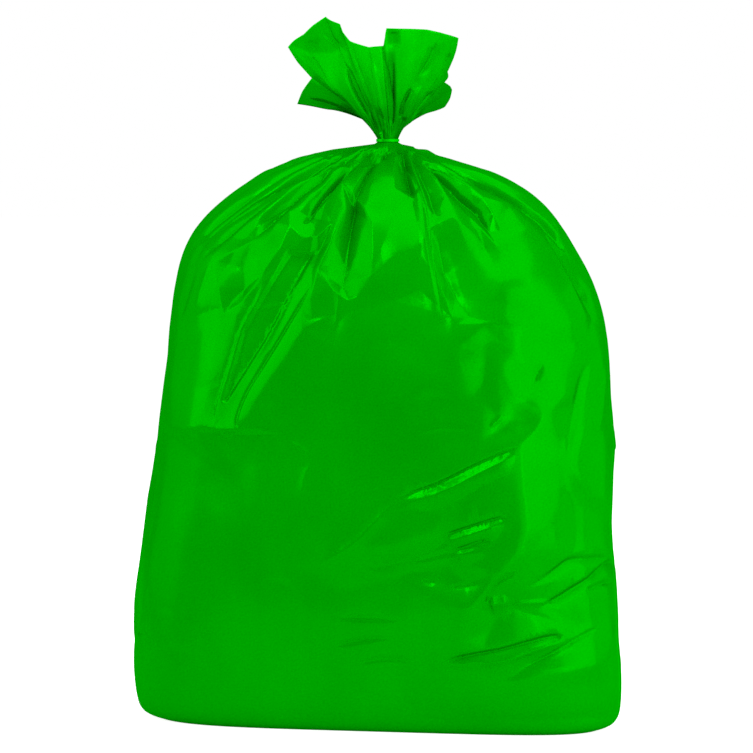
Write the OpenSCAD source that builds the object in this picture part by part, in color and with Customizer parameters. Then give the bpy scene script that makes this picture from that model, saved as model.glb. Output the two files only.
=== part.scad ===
// A full bin bag of thin glossy film, stood on its base, with its neck gathered
// under a twist tie and its loose mouth fanned out above.

/* [Bag] */
// Width of the full bag, left to right
bag_w = 547; // [500:1:600]
// Depth of the full bag at its belly, front to back
bag_d = 346; // [300:1:400]
// Height of the tie above the floor
tie_z = 644; // [600:1:700]
// How far the bag's front slants away to the left, in degrees
front_slant = 9; // [0:1:20]
// Depth of the gathers on the shoulders, 1 as in the photo
gather = 1; // [0.3:0.1:1.4]

/* [Mouth] */
// Diameter of the bunched neck under the tie
neck_d = 24; // [20:1:30]
// Height of the loose mouth above the tie
mouth_h = 137; // [110:1:160]
// Thickness of the mouth's film as modelled
film_t = 1.2; // [0.9:0.1:1.6]

/* [Tie] */
// Width of the tie's strip
strip_w = 3; // [2.5:0.5:4]
// Thickness of the tie's strip
strip_t = 1; // [0.8:0.1:1.2]
// Length of the tie's twisted ends
twist_l = 9; // [7:1:12]

/* [Hidden] */

film_green = [0, 0.63, 0];
tie_green = [0, 0.72, 0];

neck_r = neck_d / 2;
// The neck stands to the right of the middle of the base
neck_x = 0.053 * bag_w / 2;

// Levels of the full bag, from the floor to the foot of the neck: height as a share of tie_z, reach
// to the right and left as shares of bag_w / 2, reach to the front and back as shares of bag_d / 2,
// squareness of the section, share of front_slant, and share of neck_x
LEVELS = [
    [0.000, 0.925, 0.910, 0.85, 0.85, 4.6, 1.0, 0.0],
    [0.012, 0.975, 0.968, 0.92, 0.92, 4.6, 1.0, 0.0],
    [0.040, 0.992, 0.990, 0.96, 0.96, 4.4, 1.0, 0.0],
    [0.100, 0.998, 1.000, 0.98, 0.98, 3.8, 1.0, 0.1],
    [0.210, 0.984, 0.984, 1.00, 1.00, 3.3, 1.0, 0.2],
    [0.340, 0.966, 0.948, 1.00, 1.00, 2.9, 1.0, 0.4],
    [0.470, 0.972, 0.910, 0.98, 0.98, 2.7, 1.0, 0.6],
    [0.580, 0.967, 0.880, 0.94, 0.94, 2.6, 0.9, 0.8],
    [0.670, 0.950, 0.852, 0.88, 0.88, 2.5, 0.8, 1.0],
    [0.745, 0.909, 0.826, 0.80, 0.81, 2.4, 0.6, 1.0],
    [0.805, 0.828, 0.782, 0.72, 0.73, 2.3, 0.4, 1.0],
    [0.860, 0.745, 0.700, 0.62, 0.63, 2.2, 0.3, 1.0],
    [0.905, 0.640, 0.594, 0.50, 0.51, 2.2, 0.2, 1.0],
    [0.940, 0.504, 0.466, 0.37, 0.38, 2.1, 0.1, 1.0],
    [0.966, 0.330, 0.320, 0.24, 0.25, 2.0, 0.0, 1.0],
    [0.984, 0.165, 0.170, 0.13, 0.13, 2.0, 0.0, 1.0],
];
BELLY_RINGS = 2; // rings for each step between levels

// Gathers, one row for each valley, anticlockwise from the right: its direction in degrees at the neck,
// on the shoulder and on the belly, its depth in mm, and how far down it runs as a share of tie_z
GATHERS = [
    [5, 4, 4, 6, 0.80],
    [17, 16, 16, 8, 0.70],
    [29, 29, 30, 6, 0.78],
    [42, 43, 44, 9, 0.62],
    [53, 54, 56, 6, 0.80],
    [66, 67, 68, 8, 0.72],
    [78, 79, 80, 10, 0.55],
    [91, 91, 92, 6, 0.80],
    [103, 103, 104, 9, 0.66],
    [116, 116, 116, 7, 0.76],
    [128, 127, 127, 10, 0.60],
    [141, 139, 138, 6, 0.80],
    [152, 150, 149, 8, 0.70],
    [165, 161, 160, 6, 0.78],
    [178, 173, 171, 7, 0.74],
    [190, 183, 180, 5, 0.80],
    [198, 188, 185, 6, 0.80],
    [206, 193, 189, 9, 0.76],
    [216, 205, 198, 9, 0.74],
    [230, 231, 222, 12, 0.56],
    [250, 249, 247, 11, 0.62],
    [286, 286, 284, 6, 0.86],
    [294, 291, 292, 12, 0.66],
    [313, 313, 312, 12, 0.74],
    [333, 339, 342, 9, 0.76],
    [350, 352, 353, 6, 0.80],
];
// Heights between which a gather turns from one direction to the next, as shares of tie_z
NECK_SHARE = 0.93;
SHOULDER_SHARE = 0.82;
BELLY_SHARE = 0.58;

// The mouth's rim, one point for each gather: right, back and up from the middle of the tie, as
// shares of mouth_h, and how much its film arches on the way up
RIM = [
    [0.48, 0.10, 0.48, 0.8],
    [0.545, 0.25, 0.42, 0.7],
    [0.48, 0.30, 0.28, 0.6],
    [0.24, 0.22, 0.43, 1.0],
    [0.37, 0.45, 0.63, 1.0],
    [0.22, 0.37, 0.75, 1.0],
    [0.07, 0.19, 0.60, 1.0],
    [0.06, 0.52, 0.72, 1.0],
    [-0.10, 0.45, 0.69, 1.0],
    [-0.10, 0.19, 0.56, 1.0],
    [-0.35, 0.47, 0.60, 1.0],
    [-0.45, 0.40, 0.46, 0.9],
    [-0.29, 0.17, 0.42, 0.8],
    [-0.76, 0.10, 0.30, 0.38],
    [-0.64, 0.02, 0.51, 0.7],
    [-0.83, -0.10, 0.76, 0.9],
    [-0.70, -0.16, 0.86, 1.0],
    [-0.52, -0.22, 1.00, 1.0],
    [-0.40, -0.24, 0.94, 1.0],
    [-0.32, -0.26, 0.80, 1.0],
    [-0.16, -0.30, 0.75, 1.0],
    [-0.04, -0.30, 0.76, 1.0],
    [-0.01, -0.36, 0.90, 1.0],
    [0.33, -0.33, 0.89, 1.0],
    [0.59, -0.16, 0.83, 1.0],
    [0.505, -0.03, 0.56, 0.9],
];
MOUTH_RINGS = 9; // rings up the outside of the mouth
FLARE = 1.25; // how slowly the mouth's film leaves the neck
FLOOR_SHARE = 0.2; // where the inside of the mouth closes, as a share of the way up

// Broad swellings and hollows that the contents make: direction in degrees, height as a share of
// tie_z, spread in degrees and in shares of tie_z, and rise in mm
SWELLINGS = [
    [300, 0.42, 26, 0.16, 5],
    [262, 0.20, 30, 0.14, 4],
    [236, 0.52, 18, 0.12, -5],
    [325, 0.60, 16, 0.10, -5],
    [318, 0.16, 14, 0.07, -4],
    [30, 0.35, 24, 0.14, 5],
    [75, 0.50, 22, 0.13, -6],
    [110, 0.25, 28, 0.15, 5],
    [150, 0.48, 20, 0.12, -5],
    [195, 0.30, 18, 0.14, 4],
];

COLUMN_DEG = 8; // a gather gets two columns for every such angle
STRIP_SIDES = 64;

// Value between a and b at share t
function mix(a, b, t) = a + (b - a) * t;
// The same share, held between 0 and 1 and eased at both ends
function ease(t) = let (c = min(max(t, 0), 1)) c * c * (3 - 2 * c);
// A smooth curve through four values, at share t between the middle two
function curve4(a, b, c, d, t) =
    0.5 * (2 * b + (c - a) * t + (2 * a - 5 * b + 4 * c - d) * t * t + (3 * b - a - 3 * c + d) * t * t * t);
// One column of LEVELS at a fractional row
function level(row, column) =
    let (last = len(LEVELS) - 1, i = min(floor(row), last - 1), t = row - i)
    curve4(
        LEVELS[max(i - 1, 0)][column],
        LEVELS[i][column],
        LEVELS[i + 1][column],
        LEVELS[min(i + 2, last)][column],
        t
    );
// Distance from a section's middle to its edge. A section is a rounded oblong whose front and back
// slant away to the left
function section_r(azimuth, row) =
    let (
        n = level(row, 5),
        shift = neck_x * level(row, 7),
        y = sin(azimuth) + tan(front_slant * level(row, 6)) * cos(azimuth),
        x_reach = cos(azimuth) >= 0 ? level(row, 1) * bag_w / 2 - shift : level(row, 2) * bag_w / 2 + shift,
        y_reach = level(row, y >= 0 ? 4 : 3) * bag_d / 2
    )
    pow(pow(abs(cos(azimuth)) / x_reach, n) + pow(abs(y) / y_reach, n), -1 / n);

gather_count = len(GATHERS);
function gather_width(k) = (GATHERS[(k + 1) % gather_count][0] - GATHERS[k][0] + 360) % 360;
// The columns of the mesh, each a gather's number and the share of the way to the next one
COLUMNS = [
    for (k = [0:gather_count - 1])
        let (steps = 2 * ceil(gather_width(k) / COLUMN_DEG)) for (j = [0:steps - 1])[k, j / steps]
];
column_count = len(COLUMNS);

// Direction of a gather's valley, turned on by whole circles so that it never steps back
function valley(k, place) = GATHERS[k % gather_count][place] + (k >= gather_count ? 360 : 0);
function column_azimuth_at(column, place) = mix(valley(column[0], place), valley(column[0] + 1, place), column[1]);
function column_azimuth(column, height) =
    height > SHOULDER_SHARE
        ? mix(
              column_azimuth_at(column, 1),
              column_azimuth_at(column, 0),
              ease((height - SHOULDER_SHARE) / (NECK_SHARE - SHOULDER_SHARE))
          )
        : mix(
              column_azimuth_at(column, 2),
              column_azimuth_at(column, 1),
              ease((height - BELLY_SHARE) / (SHOULDER_SHARE - BELLY_SHARE))
          );
// One side of a valley: 1 at its bottom, 0 past 7 degrees or half way to the next
VALLEY_DEG = 7;
function valley_side(share, width) =
    pow(max(0, 1 - share / min(0.5, VALLEY_DEG / width)), 1.4);
function gather_reach(k, height) = ease((height - GATHERS[k][4]) / 0.09);
// Rise of the film above the smooth form, from the gathers to both sides of a column
function gather_rise(column, height, radius) =
    let (
        k = column[0],
        next = (k + 1) % gather_count,
        here = GATHERS[k][3] * gather_reach(k, height),
        there = GATHERS[next][3] * gather_reach(next, height),
        width = gather_width(k),
        fullness = gather * min(1, radius / 90)
    )
    fullness * (0.2 * (here + there) * sin(180 * column[1])
        - here * valley_side(column[1], width)
        - there * valley_side(1 - column[1], width));
function turn_between(a, b) = abs((a - b + 540) % 360 - 180);
function swelling(azimuth, height) = [
    for (s = SWELLINGS)
        s[4] * exp(-pow(turn_between(azimuth, s[0]) / s[2], 2) - pow((height - s[1]) / s[3], 2))
] * [for (s = SWELLINGS) 1];

// A point of the full bag's skin
function belly_point(column, row) =
    let (
        height = level(row, 0),
        azimuth = column_azimuth(column, height),
        radius = section_r(azimuth, row),
        step = 0.05,
        low = max(row - step, 0),
        high = min(row + step, len(LEVELS) - 1),
        run = section_r(azimuth, high) - section_r(azimuth, low),
        climb = (level(high, 0) - level(low, 0)) * tie_z,
        slant = norm([run, climb]),
        rise = row == 0 ? 0 : gather_rise(column, height, radius) + swelling(azimuth, height) * ease(row / 2),
        out = radius + rise * climb / slant
    )
    [
        neck_x * level(row, 7) + out * cos(azimuth),
        out * sin(azimuth),
        height * tie_z - rise * run / slant,
    ];
// A round ring of the neck
function neck_point(column, radius, z) =
    let (azimuth = column_azimuth_at(column, 0))
    [neck_x + radius * cos(azimuth), radius * sin(azimuth), z];

// A rim point in polar form: direction, radius, height above the tie and arch
function rim_point(column) =
    let (p = mix(RIM[column[0]], RIM[(column[0] + 1) % gather_count], column[1]))
    [atan2(p[1], p[0]), norm([p[0], p[1]]) * mouth_h, p[2] * mouth_h, p[3]];
function near_turn(a, b) = b + ((a - b + 540) % 360 - 180);
neck_top = strip_w / 2 + 0.6;
// Film's rise on the mouth's folds, strongest half way up
function mouth_fold(column, share) =
    let (width = gather_width(column[0]))
    -3.2 * (valley_side(column[1], width) + valley_side(1 - column[1], width)) * sin(180 * min(share, 0.75)) * share;
function mouth_radius(column, share) =
    mix(neck_r, rim_point(column)[1], pow(share, FLARE)) + mouth_fold(column, share);
function mouth_point(column, share, inset) =
    let (
        rim = rim_point(column),
        from = column_azimuth_at(column, 0),
        azimuth = mix(from, near_turn(rim[0], from), ease(share)),
        radius = mouth_radius(column, share) - inset
    )
    [
        neck_x + radius * cos(azimuth),
        radius * sin(azimuth),
        tie_z + neck_top + (rim[2] - neck_top) * pow(share, FLARE * rim[3]),
    ];
// How far in the inner skin lies, so that a steep fold's film is as thick as a flat one's
function film_inset(i, share) =
    let (
        here = mouth_point(COLUMNS[i], share, 0),
        next = mouth_point(COLUMNS[(i + 1) % column_count], share, 0),
        last = mouth_point(COLUMNS[(i + column_count - 1) % column_count], share, 0),
        r = norm([here[0] - neck_x, here[1]]),
        run = norm([next[0] - neck_x, next[1]]) - norm([last[0] - neck_x, last[1]]),
        chord = norm([next[0] - last[0], next[1] - last[1]]),
        across = sqrt(max(chord * chord - run * run, 0.01))
    )
    min(film_t * chord / across, 4 * film_t, 0.4 * r);

belly_rows = (len(LEVELS) - 1) * BELLY_RINGS;
RINGS = [
    for (i = [0:belly_rows])[for (c = COLUMNS) belly_point(c, i / BELLY_RINGS)],
    [for (c = COLUMNS) neck_point(c, neck_r + 3, tie_z - strip_w / 2 - 2.4)],
    [for (c = COLUMNS) neck_point(c, neck_r, tie_z - neck_top)],
    for (i = [0:MOUTH_RINGS])[for (c = COLUMNS) mouth_point(c, i / MOUTH_RINGS, 0)],
    for (i = [MOUTH_RINGS:-2:2])
        let (share = max(i / MOUTH_RINGS, FLOOR_SHARE))
        [for (j = [0:column_count - 1]) mouth_point(COLUMNS[j], share, film_inset(j, share))],
];
ring_count = len(RINGS);
skin = [for (ring = RINGS) for (p = ring) p];
floor_point = [neck_x, 0, tie_z + 0.1 * mouth_h];

function corner(ring, column) = ring * column_count + column % column_count;
FACES = [
    [for (i = [0:column_count - 1]) i],
    for (r = [0:ring_count - 2])
        for (i = [0:column_count - 1])
            each [
                [corner(r, i), corner(r + 1, i), corner(r + 1, i + 1)],
                [corner(r, i), corner(r + 1, i + 1), corner(r, i + 1)],
            ],
    for (i = [0:column_count - 1])[corner(ring_count - 1, i), len(skin), corner(ring_count - 1, i + 1)],
];

// Middle of the base's box, which goes to the origin
middle = [for (axis = [0, 1]) let (v = [for (p = skin) p[axis]]) (min(v) + max(v)) / 2];
origin = [middle[0], middle[1], 0];

module bag() {
    color(film_green) translate(-origin) polyhedron(concat(skin, [floor_point]), FACES);
}

// The strip goes once round the neck. Its two ends are twisted together in front and stand away
// from the mouth's film
seat_r = neck_r + 0.05;
STRAND_D = 1.5;
TWIST_TURNS = 2.5;
TWIST_AT = 247; // direction in which the ends come away
TWIST_LEAN = 38; // lean of the twisted ends away from the neck
TAIL_SPREAD = 24; // half of the angle between the loose tails

module band() {
    rotate_extrude($fn = STRIP_SIDES) translate([seat_r, -strip_w / 2]) square([strip_t, strip_w]);
}
module twisted_ends() {
    linear_extrude(height = twist_l, twist = 360 * TWIST_TURNS, slices = 30)
        for (side = [-1, 1]) translate([side * STRAND_D * 0.45, 0]) circle(d = STRAND_D, $fn = 10);
    for (side = [-1, 1])
        translate([0, 0, twist_l - 0.8]) rotate([0, side * TAIL_SPREAD, 0]) translate([side * STRAND_D * 0.3, 0, 0])
            cube([STRAND_D * 0.6, strip_w * 0.8, 2 * strip_w], center = true);
}
module neck_tie() {
    color(tie_green) translate([neck_x, 0, tie_z] - origin) {
        band();
        rotate([0, 0, TWIST_AT]) translate([seat_r + STRAND_D, 0, 0]) rotate([0, TWIST_LEAN, 0]) twisted_ends();
    }
}

bag();
neck_tie();
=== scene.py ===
"""A full bin bag of glossy green film, tied at the neck, on a white studio floor.

The bag and its loose mouth are computed from the same levels, gathers and rim as their solid. The film's
relief is pressed into a fine mesh. Where the front view reaches, it is a net of flat facets and the folds
that show there, each at its place in the view. Elsewhere it is the slack film's own facets and creases.
The body's mesh is thinned afterwards where the film is smooth.
"""

import math

import bpy
import numpy as np
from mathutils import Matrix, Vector
from mathutils.geometry import delaunay_2d_cdt


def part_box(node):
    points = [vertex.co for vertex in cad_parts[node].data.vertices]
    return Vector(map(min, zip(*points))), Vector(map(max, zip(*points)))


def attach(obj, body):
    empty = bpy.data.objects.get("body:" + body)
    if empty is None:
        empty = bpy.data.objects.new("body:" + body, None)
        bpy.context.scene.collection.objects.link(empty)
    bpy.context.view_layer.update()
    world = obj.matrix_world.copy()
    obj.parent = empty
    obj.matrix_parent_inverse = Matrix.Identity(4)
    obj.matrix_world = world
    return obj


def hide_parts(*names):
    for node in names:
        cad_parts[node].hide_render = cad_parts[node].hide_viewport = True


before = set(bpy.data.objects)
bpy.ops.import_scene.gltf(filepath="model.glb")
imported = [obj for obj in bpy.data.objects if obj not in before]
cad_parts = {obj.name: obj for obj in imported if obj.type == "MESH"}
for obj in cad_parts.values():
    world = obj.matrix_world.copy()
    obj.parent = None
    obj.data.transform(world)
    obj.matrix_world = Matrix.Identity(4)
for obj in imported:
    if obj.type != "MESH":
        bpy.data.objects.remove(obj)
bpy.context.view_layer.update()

MM = 0.001

# Driving sizes in millimetres, as in the solid
BAG_W = 547
BAG_D = 346
TIE_Z = 644
FRONT_SLANT = 9
NECK_R = 12
MOUTH_H = 137
FILM_T = 0.8
STRIP_W = 3
BAND_R = 13.05
NECK_X = 0.053 * BAG_W / 2
NECK_TOP = STRIP_W / 2 + 0.6

# The neck's axis in the part's frame, read from the tie's box
tie_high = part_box("neck_tie")[1]
SHIFT = np.array([tie_high.x / MM - BAND_R - NECK_X, tie_high.y / MM - BAND_R, 0])

# The camera stands where the photograph was taken from
CAMERA_UP_DEG = 4
CAMERA_FAR = 3500
CAMERA_AIM_X = 2.2
CAMERA_AIM_Z = 378
PICTURE_PX = 753
MM_PER_PX = 1.13
SENSOR_MM = 36

# Levels of the bag: height share, reach right, left, front and back, squareness, slant and neck share
LEVELS = np.array([
    [0.000, 0.925, 0.910, 0.85, 0.85, 4.6, 1.0, 0.0],
    [0.012, 0.975, 0.968, 0.92, 0.92, 4.6, 1.0, 0.0],
    [0.040, 0.992, 0.990, 0.96, 0.96, 4.4, 1.0, 0.0],
    [0.100, 0.998, 1.000, 0.98, 0.98, 3.8, 1.0, 0.1],
    [0.210, 0.984, 0.984, 1.00, 1.00, 3.3, 1.0, 0.2],
    [0.340, 0.966, 0.948, 1.00, 1.00, 2.9, 1.0, 0.4],
    [0.470, 0.972, 0.910, 0.98, 0.98, 2.7, 1.0, 0.6],
    [0.580, 0.967, 0.880, 0.94, 0.94, 2.6, 0.9, 0.8],
    [0.670, 0.950, 0.852, 0.88, 0.88, 2.5, 0.8, 1.0],
    [0.745, 0.909, 0.826, 0.80, 0.81, 2.4, 0.6, 1.0],
    [0.805, 0.828, 0.782, 0.72, 0.73, 2.3, 0.4, 1.0],
    [0.860, 0.745, 0.700, 0.62, 0.63, 2.2, 0.3, 1.0],
    [0.905, 0.640, 0.594, 0.50, 0.51, 2.2, 0.2, 1.0],
    [0.940, 0.504, 0.466, 0.37, 0.38, 2.1, 0.1, 1.0],
    [0.966, 0.330, 0.320, 0.24, 0.25, 2.0, 0.0, 1.0],
    [0.984, 0.165, 0.170, 0.13, 0.13, 2.0, 0.0, 1.0],
])
HEIGHT, RIGHT, LEFT, FRONT, BACK, SQUARENESS, SLANT, TO_NECK = range(8)
BODY_END = len(LEVELS) - 1
# Rows of LEVELS over which the relief starts above the base
BASE_ROWS = 0.5

# Gathers: direction at the neck, shoulder and belly, depth, and how far down each one runs
GATHERS = np.array([
    [5, 4, 4, 6, 0.80],
    [17, 16, 16, 8, 0.70],
    [29, 29, 30, 6, 0.78],
    [42, 43, 44, 9, 0.62],
    [53, 54, 56, 6, 0.80],
    [66, 67, 68, 8, 0.72],
    [78, 79, 80, 10, 0.55],
    [91, 91, 92, 6, 0.80],
    [103, 103, 104, 9, 0.66],
    [116, 116, 116, 7, 0.76],
    [128, 127, 127, 10, 0.60],
    [141, 139, 138, 6, 0.80],
    [152, 150, 149, 8, 0.70],
    [165, 161, 160, 6, 0.78],
    [178, 173, 171, 7, 0.74],
    [190, 183, 180, 5, 0.80],
    [198, 188, 185, 6, 0.80],
    [206, 193, 189, 9, 0.76],
    [216, 205, 198, 9, 0.74],
    [230, 231, 222, 12, 0.56],
    [250, 249, 247, 11, 0.62],
    [286, 286, 284, 6, 0.86],
    [294, 291, 292, 12, 0.66],
    [313, 313, 312, 12, 0.74],
    [333, 339, 342, 9, 0.76],
    [350, 352, 353, 6, 0.80],
])
AT_NECK, AT_SHOULDER, AT_BELLY, DEPTH, REACH = range(5)
GATHER_COUNT = len(GATHERS)
NECK_SHARE = 0.93
SHOULDER_SHARE = 0.82
BELLY_SHARE = 0.58
VALLEY_DEG = 7
VALLEY_POWER = 1.4
# The share of the height over which a gather grows, its crown's share of its depth, and the radius in
# millimetres within which it grows shallower
GATHER_GROWTH = 0.09
CROWN_SHARE = 0.2
FULL_GATHER_R = 90
# Share of the front gathers' depth that is kept, as the front view's own folds lie between these directions
FRONT_GATHERS = 0.25
FRONT_START_DEG = 183
FRONT_END_DEG = 357

# The mouth's rim at each gather: right, back and up as shares of MOUTH_H, and the film's arch
RIM = np.array([
    [0.48, 0.10, 0.48, 0.8],
    [0.545, 0.25, 0.42, 0.7],
    [0.48, 0.30, 0.28, 0.6],
    [0.24, 0.22, 0.43, 1.0],
    [0.37, 0.45, 0.63, 1.0],
    [0.22, 0.37, 0.75, 1.0],
    [0.07, 0.19, 0.60, 1.0],
    [0.06, 0.52, 0.72, 1.0],
    [-0.10, 0.45, 0.69, 1.0],
    [-0.10, 0.19, 0.56, 1.0],
    [-0.35, 0.47, 0.60, 1.0],
    [-0.45, 0.40, 0.46, 0.9],
    [-0.29, 0.17, 0.42, 0.8],
    [-0.76, 0.10, 0.30, 0.38],
    [-0.64, 0.02, 0.51, 0.7],
    [-0.83, -0.10, 0.76, 0.9],
    [-0.70, -0.16, 0.86, 1.0],
    [-0.52, -0.22, 1.00, 1.0],
    [-0.40, -0.24, 0.94, 1.0],
    [-0.32, -0.26, 0.80, 1.0],
    [-0.16, -0.30, 0.75, 1.0],
    [-0.04, -0.30, 0.76, 1.0],
    [-0.01, -0.36, 0.90, 1.0],
    [0.33, -0.33, 0.89, 1.0],
    [0.59, -0.16, 0.83, 1.0],
    [0.505, -0.03, 0.56, 0.9],
])
FLARE = 1.25
FLOOR_SHARE = 0.2
# Depth in millimetres of the mouth's grooves, and the share of its height at which it stops changing
MOUTH_GROOVE = 3.2
MOUTH_GROOVE_TOP = 0.75

# Broad swellings: direction, height share, spread in degrees and height shares, rise
SWELLINGS = [
    [300, 0.42, 26, 0.16, 5],
    [262, 0.20, 30, 0.14, 4],
    [236, 0.52, 18, 0.12, -5],
    [325, 0.60, 16, 0.10, -5],
    [318, 0.16, 14, 0.07, -4],
    [30, 0.35, 24, 0.14, 5],
    [75, 0.50, 22, 0.13, -6],
    [110, 0.25, 28, 0.15, 5],
    [150, 0.48, 20, 0.12, -5],
    [195, 0.30, 18, 0.14, 4],
]
# Film to one gather's place round the belly, in millimetres
PLACE_MM = 56

# The body's mesh before it is thinned: columns to a degree between two directions in front and elsewhere,
# and the rows' spacing, which is measured at two places round the bag
FRONT_COLUMNS = 3.2
FRONT_COLUMNS_DEG = (176, 356)
BACK_COLUMNS = 2.1
ROW_MM = 1.45
ROW_PLACES = (21.5, 0.5)
ROW_SAMPLES = 1500
BODY_TRIANGLES = 197_000
# Rings that close the base, as shares of the way out, and the neck's rings: radius and height
BASE_RINGS = (0.3, 0.7, 0.95)
NECK_RINGS = [
    (NECK_R + 3, TIE_Z - STRIP_W / 2 - 2.4),
    (NECK_R, TIE_Z - NECK_TOP),
    (NECK_R - 0.3, TIE_Z + 0.5),
]
# The relief runs out over this height above the floor and this distance from the neck
BASE_FADE = 22
NECK_FADE = 14
# The mouth's mesh
MOUTH_COLUMNS = 24
OUTER_ROWS = 84
INNER_ROWS = 56
# Rings that close the mouth's floor, as shares of the way in, and how far its foot goes into the neck
FLOOR_RINGS = (0.4, 0.8, 1)
FOOT_DROP = 1

# Points to each step of a fold's line, and the share of its width that a fold has at its ends
LINE_STEPS = 4
FOLD_END_WIDTH = 0.25
# The film takes its relief from the front view where it faces the camera by more than the first share. The
# folds and the net come up to their full rise over the other two
LEAST_FACING = 0.02
FOLD_FACING = 0.2
NET_FACING = 0.25

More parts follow.
